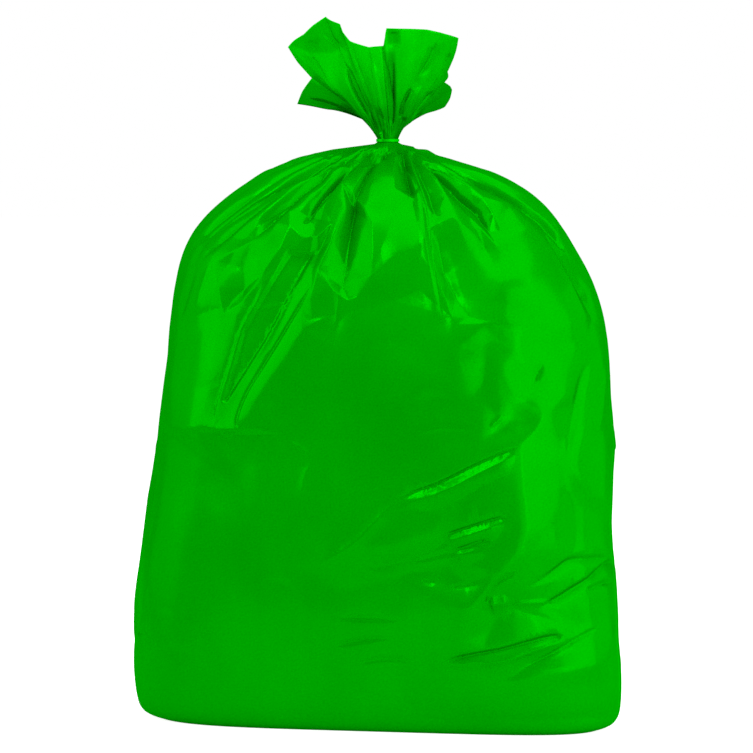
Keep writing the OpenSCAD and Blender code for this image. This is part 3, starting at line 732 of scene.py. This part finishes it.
def along_line(points, line):
    """For points in the plane or in space: their share of the way along a line, their distance from it, and
    the line's nearest step with their place from its start."""
    best = np.full(len(points), np.inf)
    share = np.zeros(len(points))
    nearest = np.zeros(len(points), int)
    for i in range(len(line) - 1):
        step = line[i + 1] - line[i]
        rel = points - line[i]
        t = np.clip(rel @ step / (step @ step), 0, 1)
        distance = np.linalg.norm(rel - t[:, None] * step, axis=1)
        near = distance < best
        best[near] = distance[near]
        share[near] = (i + t[near]) / (len(line) - 1)
        nearest[near] = i
    return share, best, line[nearest + 1] - line[nearest], points - line[nearest]


def fold_section(side, first, second, crisp):
    """A fold's rise across its line, from 1 at the line to 0 at its two sides' ends. The sides run out
    smoothly unless the fold is crisp."""
    q = np.clip(1 - np.abs(side) / np.where(side < 0, first, second), 0, 1)
    return crisp * q + (1 - crisp) * q * q


def inside_depth(places, corners):
    """How far places lie inside a convex outline, below 0 outside it."""
    corners = np.array(corners, float)
    deep = np.full(len(places), np.inf)
    for a, b in zip(corners, np.roll(corners, -1, axis=0)):
        along = (b - a) / np.linalg.norm(b - a)
        rel = places - a
        deep = np.minimum(deep, along[0] * rel[:, 1] - along[1] * rel[:, 0])
    return deep


def seen_in_front(points, normals):
    """Which points face the camera, where they fall in the picture, and by how much they face it."""
    facing = normals @ CAMERA_BACK
    front = np.flatnonzero(facing > LEAST_FACING)
    return front, picture_place(points[front]), facing[front] - LEAST_FACING


def front_rise(points, normals, folds, flats):
    """Rise of the folds that are placed by the front view."""
    front, places, facing = seen_in_front(points, normals)
    rise = np.zeros(len(front))
    for line, first, second, height, fade_in, fade_out, crisp in folds.values():
        line = smooth_line(line)
        near = near_line(places, line, max(first, second))
        share, distance, step, rel = along_line(places[near], line)
        side = distance * np.sign(step[:, 1] * rel[:, 0] - step[:, 0] * rel[:, 1])
        fade = ease(share / fade_in) * ease((1 - share) / fade_out)
        narrow = mix(FOLD_END_WIDTH, 1, fade)
        rise[near] += height * fade * fold_section(side / narrow, first, second, crisp)
    for corners, wall, depth in flats.values():
        rise -= depth * np.clip(inside_depth(places, corners) / wall, 0, 1)
    total = np.zeros(len(points))
    total[front] = rise * ease(facing / FOLD_FACING)
    return total


def crease_lines(rng, count, low, high, heading, spread, length):
    """Lines that run over the bag's skin from chance places, bending a little on the way."""
    place = rng.uniform(0, GATHER_COUNT, count)
    row = rng.uniform(low, high, count)
    turn = np.radians(heading + spread * rng.standard_normal(count))
    bend = CREASE_BEND * rng.standard_normal(count)
    step = rng.uniform(*length, count) / CREASE_STEPS
    probe = 0.1
    least_place_mm = 3
    lines = []
    for _ in range(CREASE_STEPS + 1):
        lines.append(body_points(place, row)[0])
        beside = body_points(place + probe, row)[0] - body_points(place - probe, row)[0]
        above = np.minimum(row + probe, BODY_END)
        below = np.maximum(row - probe, 0)
        upward = body_points(place, above)[0] - body_points(place, below)[0]
        per_place = np.maximum(np.linalg.norm(beside, axis=1) / (2 * probe), least_place_mm)
        per_row = np.linalg.norm(upward, axis=1) / (above - below)
        place = place + np.cos(turn) * step / per_place
        row = np.clip(row + np.sin(turn) * step / per_row, *CREASE_ROWS)
        turn = turn + bend / CREASE_STEPS
    return np.stack(lines, axis=1)


def net_triangles(corners, creases):
    """Triangles between a net's corners that keep its creases as edges."""
    same_place = 0.01
    made = delaunay_2d_cdt([Vector(c) for c in corners], creases, [], 0, same_place)
    source = [found[0] if found else None for found in made[3]]
    return [[source[i] for i in face] for face in made[2] if None not in [source[i] for i in face]]


def net_map(corners, heights, triangles, low, high, step):
    """Heights over a part of the plane, flat over each of a net's triangles, as rows of cells."""
    across, down = np.ceil((np.array(high) - low) / step).astype(int)
    made = np.zeros((down, across))
    for face in triangles:
        a, b, c = (corners[face] - low) / step
        start = np.clip(np.min([a, b, c], axis=0).astype(int), 0, (across, down))
        end = np.clip(np.max([a, b, c], axis=0).astype(int) + 2, 0, (across, down))
        x, y = np.meshgrid(np.arange(start[0], end[0]), np.arange(start[1], end[1]))
        first, second = b - a, c - a
        area = first[0] * second[1] - first[1] * second[0]
        to_b = ((x - a[0]) * second[1] - (y - a[1]) * second[0]) / area
        to_c = (first[0] * (y - a[1]) - first[1] * (x - a[0])) / area
        within = (to_b >= 0) & (to_c >= 0) & (to_b + to_c <= 1)
        ha, hb, hc = heights[face]
        facet = ha + to_b * (hb - ha) + to_c * (hc - ha)
        made[start[1] : end[1], start[0] : end[0]][within] = facet[within]
    return made


def rounded(heights, cells):
    """The same heights with their creases rounded over a number of cells to each side."""
    for axis in (0, 1, 0, 1):
        margins = [(0, 0), (0, 0)]
        margins[axis] = (cells + 1, cells)
        total = np.cumsum(np.pad(heights, margins, mode="edge"), axis=axis)
        kept = np.arange(heights.shape[axis])
        behind = np.take(total, kept, axis=axis)
        ahead = np.take(total, kept + 2 * cells + 1, axis=axis)
        heights = (ahead - behind) / (2 * cells + 1)
    return heights


def sampled(heights, low, step, places):
    """Heights at places in the plane, between the cells of a map."""
    across, down = ((places - low) / step).T
    margin = 1.001
    across = np.clip(across, 0, heights.shape[1] - margin)
    down = np.clip(down, 0, heights.shape[0] - margin)
    i, j = down.astype(int), across.astype(int)
    s, t = down - i, across - j
    upper = mix(heights[i, j], heights[i, j + 1], t)
    lower = mix(heights[i + 1, j], heights[i + 1, j + 1], t)
    return mix(upper, lower, s)


def front_net_rise(points, normals):
    """Rise of the front's flat facets: crisp creases on the shoulders, rounder ones below."""
    corners = []
    creases = []
    for name, line in FRONT_NET.items():
        start = len(corners)
        corners += line
        if name not in ("calm places", "far places"):
            creases += [(start + i, start + i + 1) for i in range(len(line) - 1)]
    corners = np.array(corners, float)
    triangles = net_triangles(corners[:, :2], creases)
    sharp = net_map(corners[:, :2], corners[:, 2], triangles, NET_START_PX, NET_END_PX, NET_STEP_PX)
    front, places, facing = seen_in_front(points, normals)
    crisp = sampled(rounded(sharp, CRISP_CELLS), NET_START_PX, NET_STEP_PX, places)
    soft = sampled(rounded(sharp, SOFT_CELLS), NET_START_PX, NET_STEP_PX, places)
    rise = mix(crisp, soft, ease((places[:, 1] - SOFT_FROM_PX) / SOFT_OVER_PX))
    total = np.zeros(len(points))
    total[front] = rise * ease(facing / NET_FACING)
    return total


def crumple_rise(around, up):
    """Rise of the slack film's flat facets at places on the skin laid flat, both in millimetres."""
    rng = np.random.default_rng(CRUMPLE_SEED)
    girth = GATHER_COUNT * PLACE_MM
    count = round(girth / CRUMPLE_AROUND)
    corners = []
    for row in range(-1, math.ceil(up.max() / CRUMPLE_UP) + 2):
        for k in range(count):
            stray = rng.uniform(-CRUMPLE_STRAY, CRUMPLE_STRAY, 2)
            corners.append([(k + row % 2 / 2 + stray[0]) * girth / count, (row + stray[1]) * CRUMPLE_UP])
    corners = np.array(corners)
    heights = CRUMPLE_RISE * rng.uniform(-1, 1, len(corners))
    corners = np.concatenate([corners - [girth, 0], corners, corners + [girth, 0]])
    heights = np.tile(heights, 3)
    made = net_map(corners, heights, net_triangles(corners, []), (0, 0), (girth + 2, up.max() + 2), 1)
    return sampled(rounded(made, CRUMPLE_ROUND), (0, 0), 1, np.stack([around, up], axis=1))


def line_rise(points, normals, line, first, second, crisp):
    """One crease's rise at points near its line."""
    share, distance, step, rel = along_line(points, line)
    side = distance * np.sign(np.einsum("ij,ij->i", np.cross(step, rel), normals))
    fade = ease(share / CREASE_FADE) * ease((1 - share) / CREASE_FADE)
    return fade * fold_section(side / mix(CREASE_END_WIDTH, 1, fade), first, second, crisp)


def crease_rise(points, normals):
    """Rise of the slack film's creases all round."""
    rng = np.random.default_rng(CREASE_SEED)
    rise = np.zeros(len(points))
    for count, low, high, heading, spread, length, width, height in CREASES.values():
        lines = crease_lines(rng, count, low, high, heading, spread, length)
        first = rng.uniform(*width, count)
        second = first * rng.uniform(*NARROW_SIDE, count)
        swap = rng.random(count) < NARROW_FIRST
        first[swap], second[swap] = second[swap], first[swap]
        heights = rng.uniform(*height, count) * np.where(rng.random(count) < VALLEY_SHARE, -1, 1)
        crisp = rng.uniform(*CREASE_CRISP, count)
        for line, a, b, h, c in zip(lines, first, second, heights, crisp):
            near = near_line(points, line, max(a, b))
            rise[near] += h * line_rise(points[near], normals[near], line, a, b, c)
    return rise


def slack_rise(points):
    """Soft waves of the slack film: longer up and down the bag than round it."""
    rng = np.random.default_rng(SLACK_SEED)
    rise = np.zeros(len(points))
    for wavelength, count, height in SLACK_WAVES:
        for _ in range(count):
            direction = rng.standard_normal(3) * np.array([1, 1, SLACK_UPWARD])
            direction *= 2 * np.pi / wavelength / np.linalg.norm(direction)
            rise += height * np.sin(points @ direction + rng.uniform(0, 2 * np.pi))
    return rise


def packing_rise(points, azimuth):
    rise = np.zeros(len(points))
    for z, height, width, waves, phase in PACKING:
        strength = 0.5 + 0.5 * np.sin(waves * azimuth + phase)
        rise += height * strength * np.clip(1 - np.abs(points[:, 2] - z) / width, 0, 1)
    return rise


def add_object(name, data):
    obj = bpy.data.objects.new(name, data)
    bpy.context.scene.collection.objects.link(obj)
    return obj


def new_mesh(name, points, faces, material):
    mesh = bpy.data.meshes.new(name)
    mesh.vertices.add(len(points))
    mesh.vertices.foreach_set("co", (points * MM).astype(np.float32).ravel())
    mesh.loops.add(faces.size)
    mesh.loops.foreach_set("vertex_index", faces.astype(np.int32).ravel())
    mesh.polygons.add(len(faces))
    mesh.polygons.foreach_set("loop_start", np.arange(0, faces.size, faces.shape[1], dtype=np.int32))
    mesh.update(calc_edges=True)
    mesh.materials.append(material)
    return add_object(name, mesh)


def grid_faces(rows, columns):
    """Four-sided faces of a closed band of rows."""
    r, c = np.divmod(np.arange((rows - 1) * columns), columns)
    a = r * columns + c
    b = r * columns + (c + 1) % columns
    return np.stack([a, b, b + columns, a + columns], axis=1)


def body_rows():
    """Rows at even spacing up the skin."""
    row = np.linspace(0, BODY_END, ROW_SAMPLES)
    lines = [body_points(np.full_like(row, place), row)[0] for place in ROW_PLACES]
    length = sum(np.linalg.norm(np.diff(line, axis=0), axis=1) for line in lines)
    run = np.concatenate([[0], np.cumsum(length)]) / len(lines)
    return np.interp(np.arange(0, run[-1], ROW_MM), run, row)


def body_columns():
    places = []
    low, high = FRONT_COLUMNS_DEG
    for k in range(GATHER_COUNT):
        density = FRONT_COLUMNS if low < GATHERS[k, AT_BELLY] < high else BACK_COLUMNS
        steps = math.ceil(gather_width(k, AT_BELLY) * density)
        places += [k + j / steps for j in range(steps)]
    return np.array(places)


def neck_ring(columns, radius, z):
    azimuth = np.radians(azimuth_at(columns, AT_NECK))
    ring = [NECK_X + radius * np.cos(azimuth), radius * np.sin(azimuth), np.full_like(azimuth, z)]
    return np.stack(ring, axis=1) + SHIFT


def thinned(dense, name, triangles):
    """The dense object's mesh with fewer triangles, in a new object."""
    thin = dense.modifiers.new("thin", "DECIMATE")
    thin.ratio = triangles / (2 * len(dense.data.polygons))
    evaluated = dense.evaluated_get(bpy.context.evaluated_depsgraph_get())
    mesh = bpy.data.meshes.new_from_object(evaluated)
    bpy.data.objects.remove(dense)
    mesh.name = name
    return add_object(name, mesh)


def shade_smooth(obj):
    obj.data.polygons.foreach_set("use_smooth", np.ones(len(obj.data.polygons), bool))


def make_body(material):
    columns = body_columns()
    rows = body_rows()
    points, normals = body_points(np.tile(columns, len(rows)), np.repeat(rows, len(columns)))
    azimuth = np.arctan2(points[:, 1], points[:, 0])
    facing = normals @ CAMERA_BACK
    from_neck = np.hypot(points[:, 0] - NECK_X - SHIFT[0], points[:, 1] - SHIFT[1])
    kept = 1 - (1 - FRONT_KEPT) * ease((facing - CALM_FACING) / CALM_OVER)
    kept = np.maximum(kept, NECK_KEPT * (1 - ease((from_neck - PLEATS_R) / PLEATS_OVER)))
    rise = slack_rise(points) * mix(SLACK_KEPT, 1, kept)
    rise += crease_rise(points, normals) * kept
    around = np.tile(columns * PLACE_MM, len(rows))
    up = np.repeat(np.arange(len(rows)) * ROW_MM, len(columns))
    rise += crumple_rise(around, up) * (1 - ease((facing - CRUMPLE_FACING) / CRUMPLE_OVER))
    rise += front_net_rise(points, normals)
    rise += packing_rise(points, azimuth) * kept**2
    rise += front_rise(points, normals, FRONT_FOLDS, FRONT_FLATS)
    rise *= ease(points[:, 2] / BASE_FADE) * ease((from_neck - NECK_R) / NECK_FADE)
    points = points + normals * rise[:, None]
    points[:, 2] = np.maximum(points[:, 2], 0)
    edge = points[: len(columns)]
    base = [mix(edge.mean(axis=0), edge, share) for share in BASE_RINGS]
    neck = [neck_ring(columns, radius, z) for radius, z in NECK_RINGS]
    points = np.concatenate([*base, points, *neck])
    quads = grid_faces(len(rows) + len(base) + len(neck), len(columns))
    body = thinned(new_mesh("bag_dense", points, quads, material), "bag_film", BODY_TRIANGLES)
    shade_smooth(body)
    return body


def mouth_pleat_rise(place, share):
    rng = np.random.default_rng(PLEAT_SEED)
    count, width, reach, depth = MOUTH_PLEATS
    rise = np.zeros(len(place))
    for _ in range(count):
        turn = (place - rng.uniform(0, GATHER_COUNT) + GATHER_COUNT / 2) % GATHER_COUNT - GATHER_COUNT / 2
        turn = turn - rng.uniform(-PLEAT_STRAY, PLEAT_STRAY) * share
        groove = np.clip(1 - np.abs(turn) / rng.uniform(*width), 0, 1)
        deepest = rng.uniform(*depth)
        fade = ease((rng.uniform(*reach) - share) / PLEAT_FADE)
        rise -= deepest * groove * fade * share**PLEAT_POWER
    return rise


def painted_light_share(points):
    """Share of painted light in the mouth's colour, standing in for light through its film: painted shade
    lowers it, most at its bunched foot and where the film lies double, as on the shaded ears.
    """
    places = picture_place(points)
    low, high = BUNCHED_SHADE_Z
    through = ease((points[:, 2] - low) / (high - low))
    for corners, kept in MOUTH_DOUBLED_SHADE.values():
        through *= mix(1, kept, ease(inside_depth(places, corners) / DOUBLED_SHADE_EDGE_PX))
    return through


def make_mouth(material):
    columns = np.arange(GATHER_COUNT * MOUTH_COLUMNS) / MOUTH_COLUMNS
    outer = np.linspace(0, 1, OUTER_ROWS)
    inner = np.linspace(1, FLOOR_SHARE, INNER_ROWS)
    share = np.repeat(np.concatenate([outer, inner]), len(columns))
    place = np.tile(columns, OUTER_ROWS + INNER_ROWS)
    inside = np.repeat(np.concatenate([np.zeros(OUTER_ROWS), np.ones(INNER_ROWS)]), len(columns))
    points = mouth_points(place, share)
    normals = mouth_normals(place, share)
    rise = MOUTH_FOLD_DEPTH * front_rise(points, normals, MOUTH_FOLDS, {}) + mouth_pleat_rise(place, share)
    rise += MOUTH_SLACK * slack_rise(points * MOUTH_SLACK_FINER)
    rise *= ease(share / MOUTH_START)
    points = points + normals * (rise - FILM_T * inside)[:, None]
    foot = neck_ring(columns, NECK_R, TIE_Z - FOOT_DROP)
    last = points[-len(columns) :]
    floor = [mix(last, last.mean(axis=0), share) for share in FLOOR_RINGS]
    points = np.concatenate([foot, points, *floor])
    quads = grid_faces(len(points) // len(columns), len(columns))
    mouth = new_mesh("bag_mouth", points, quads, material)
    # The mouth's painted light and shade, kept in a mesh layer that its colour reads
    layer = mouth.data.attributes.new("painted_light_share", "FLOAT", "POINT")
    layer.data.foreach_set("value", painted_light_share(points).astype(np.float32))
    shade_smooth(mouth)
    return mouth


def set_inputs(tree, node, values):
    """Sets a node's inputs by name or number, each to a plain value or to another node's output."""
    for name, value in values.items():
        if isinstance(value, bpy.types.NodeSocket):
            tree.links.new(value, node.inputs[name])
        else:
            node.inputs[name].default_value = value


def add_node(tree, kind, values, **settings):
    node = tree.nodes.new("ShaderNode" + kind)
    for name, setting in settings.items():
        setattr(node, name, setting)
    set_inputs(tree, node, values)
    return node


def noise(tree, vector, scale, detail, distortion=0.0):
    values = {"Vector": vector, "Scale": scale, "Detail": detail, "Distortion": distortion}
    return add_node(tree, "TexNoise", values).outputs["Fac"]


def mapped(tree, value, low, high, start=0.3, end=0.7):
    """A value from start to end, mapped to run from low to high."""
    values = {"Value": value, "From Min": start, "From Max": end, "To Min": low, "To Max": high}
    return add_node(tree, "MapRange", values).outputs["Result"]


def worked_out(tree, operation, *values):
    """The result of a math node, from numbers or other nodes' outputs."""
    return add_node(tree, "Math", dict(enumerate(values)), operation=operation).outputs[0]


def stretched(tree, vector, scale, turn_deg=0):
    """Places for a pattern, scaled along each axis and turned about the one that runs to the back."""
    values = {"Vector": vector, "Scale": scale, "Rotation": (0, math.radians(turn_deg), 0)}
    return add_node(tree, "Mapping", values).outputs["Vector"]


def mixed_shaders(tree, share, first, second):
    values = {"Fac": share, 1: first.outputs[0], 2: second.outputs[0]}
    return add_node(tree, "MixShader", values)


def film_colour(tree, place, dark, light, layer):
    """Cloudy pigment with faint extrusion streaks. Where a mesh layer is given, it paints light and shade
    into the
    colour: painted shade where the layer is low, and painted light, standing in for light through the film,
    where it is high."""
    streaks = noise(tree, stretched(tree, place, (1, 1, 0.05)), scale=90, detail=2)
    clouds = noise(tree, place, scale=7, detail=4, distortion=0.6)
    streaks_share = 0.3
    share = worked_out(tree, "MULTIPLY_ADD", streaks, streaks_share, mapped(tree, clouds, low=0, high=0.7))
    # The mesh layer paints light and shade into the colour's share
    if layer:
        through = add_node(tree, "Attribute", {}, attribute_name=layer).outputs["Fac"]
        share = worked_out(tree, "MULTIPLY", through, share)
    values = {"Factor": share, "A": (0, dark, 0, 1), "B": (0, light, 0, 1)}
    return add_node(tree, "Mix", values, data_type="RGBA").outputs["Result"]


def film_crinkles(tree, place):
    """Fine crinkles of the film, as a bumped normal: small cells, pushed about, and slanted waves."""
    stray = 0.02
    strayed = {0: noise(tree, place, scale=30, detail=3), 1: (stray, stray, stray), 2: place}
    spots = add_node(tree, "VectorMath", strayed, operation="MULTIPLY_ADD").outputs["Vector"]
    values = {"Vector": spots, "Scale": 34, "Smoothness": 0.35}
    cells = add_node(tree, "TexVoronoi", values, feature="SMOOTH_F1").outputs["Distance"]
    slanted = stretched(tree, place, (1, 1, 0.22), turn_deg=12)
    waves = noise(tree, slanted, scale=30, detail=3, distortion=0.4)
    waves_share = 1.2
    height = worked_out(tree, "MULTIPLY_ADD", waves, waves_share, cells)
    values = {"Height": height, "Strength": 0.16, "Distance": 0.001}
    return add_node(tree, "Bump", values).outputs["Normal"]


def new_material(name):
    material = bpy.data.materials.new(name)
    material.use_nodes = True
    return material, material.node_tree


def film_material(name, dark, light, layer=None):
    """Glossy green film. The gloss is a green one, as the film's two faces and its pigment share it: a
    sharp part and a broader one, which both grow a little at a grazing view."""
    material, tree = new_material(name)
    place = add_node(tree, "TexCoord", {}).outputs["Object"]
    pigment = film_colour(tree, place, dark, light, layer)
    body = tree.nodes["Principled BSDF"]
    set_inputs(tree, body, {"Base Color": pigment, "Specular IOR Level": 0})
    sharp = add_node(tree, "BsdfAnisotropic", {"Color": (0, 1, 0, 1)})
    broad = add_node(tree, "BsdfAnisotropic", {"Color": (0, 1, 0, 1)})
    patches = noise(tree, place, scale=26, detail=5, distortion=0.8)
    crinkles = film_crinkles(tree, place)
    roughness = ((body, 0.3, 0.4), (sharp, 0.12, 0.2), (broad, 0.32, 0.42))
    for shader, low, high in roughness:
        set_inputs(tree, shader, {"Roughness": mapped(tree, patches, low, high), "Normal": crinkles})
    shine = mixed_shaders(tree, 0.5, sharp, broad)
    grazing = add_node(tree, "Fresnel", {"IOR": 1.5}).outputs["Fac"]
    shine_share = mapped(tree, grazing, low=0.075, high=0.11, start=0.04, end=0.4)
    film = mixed_shaders(tree, shine_share, body, shine)
    set_inputs(tree, tree.nodes["Material Output"], {"Surface": film.outputs["Shader"]})
    return material


def add_area(name, place, aim, size, power):
    lamp = bpy.data.lights.new(name, "AREA")
    lamp.shape = "RECTANGLE"
    lamp.size, lamp.size_y = size
    lamp.energy = power
    obj = add_object(name, lamp)
    obj.location = place
    obj.rotation_euler = (Vector(aim) - Vector(place)).to_track_quat("-Z", "Y").to_euler()


def seen_rays(tree):
    """1 for rays that should see the plain white background."""
    rays = add_node(tree, "LightPath", {}).outputs
    seen = worked_out(tree, "MAXIMUM", rays["Is Camera Ray"], rays["Is Glossy Ray"])
    return worked_out(tree, "MAXIMUM", seen, rays["Is Transmission Ray"])


def make_world():
    world = bpy.data.worlds.new("studio")
    bpy.context.scene.world = world
    world.use_nodes = True
    tree = world.node_tree
    strength = mapped(tree, seen_rays(tree), low=WORLD_LIGHT, high=1, start=0, end=1)
    set_inputs(tree, tree.nodes["Background"], {"Color": (1, 1, 1, 1), "Strength": strength})


def make_floor():
    """A white floor, lifted for the rays that see it, so that only the object's shadow shows on it."""
    sides = ((-1, -1), (1, -1), (1, 1), (-1, 1))
    mesh = bpy.data.meshes.new("floor")
    mesh.from_pydata([(x * FLOOR_REACH, y * FLOOR_REACH, 0) for x, y in sides], [], [(0, 1, 2, 3)])
    floor = add_object("floor", mesh)
    paint, tree = new_material("white_floor")
    values = {
        "Base Color": (0.8, 0.8, 0.8, 1),
        "Roughness": 0.9,
        "Specular IOR Level": 0,
        "Emission Color": (1, 1, 1, 1),
        "Emission Strength": worked_out(tree, "MULTIPLY", seen_rays(tree), FLOOR_LIFT),
    }
    set_inputs(tree, tree.nodes["Principled BSDF"], values)
    mesh.materials.append(paint)


def make_studio():
    bpy.context.scene.view_settings.view_transform = "Standard"
    make_world()
    make_floor()
    for name, lamp in LAMPS.items():
        add_area(name, *lamp)


def make_camera():
    camera = add_object("camera", bpy.data.cameras.new("camera"))
    camera.location = Vector(CAMERA_PLACE * MM)
    camera.rotation_euler = (math.radians(90) - CAMERA_TILT, 0, 0)
    camera.data.sensor_width = SENSOR_MM
    camera.data.lens = SENSOR_MM * CAMERA_FAR / (PICTURE_PX * MM_PER_PX)
    bpy.context.scene.camera = camera


make_camera()
make_studio()
full_film = film_material("green_film", dark=0.152, light=0.188)
# The loose film's light colour is painted light, standing in for light through the film, and its dark one
# is painted shade, chosen between by its mesh layer
painted_loose_film = film_material("green_film_loose_painted_light", dark=0.1, light=0.52, layer="painted_light_share")
tie_coat = film_material("green_tie_coat", dark=0.32, light=0.38)
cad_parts["neck_tie"].data.materials.clear()
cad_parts["neck_tie"].data.materials.append(tie_coat)
for piece in (make_body(full_film), make_mouth(painted_loose_film)):
    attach(piece, "root")
    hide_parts("bag")
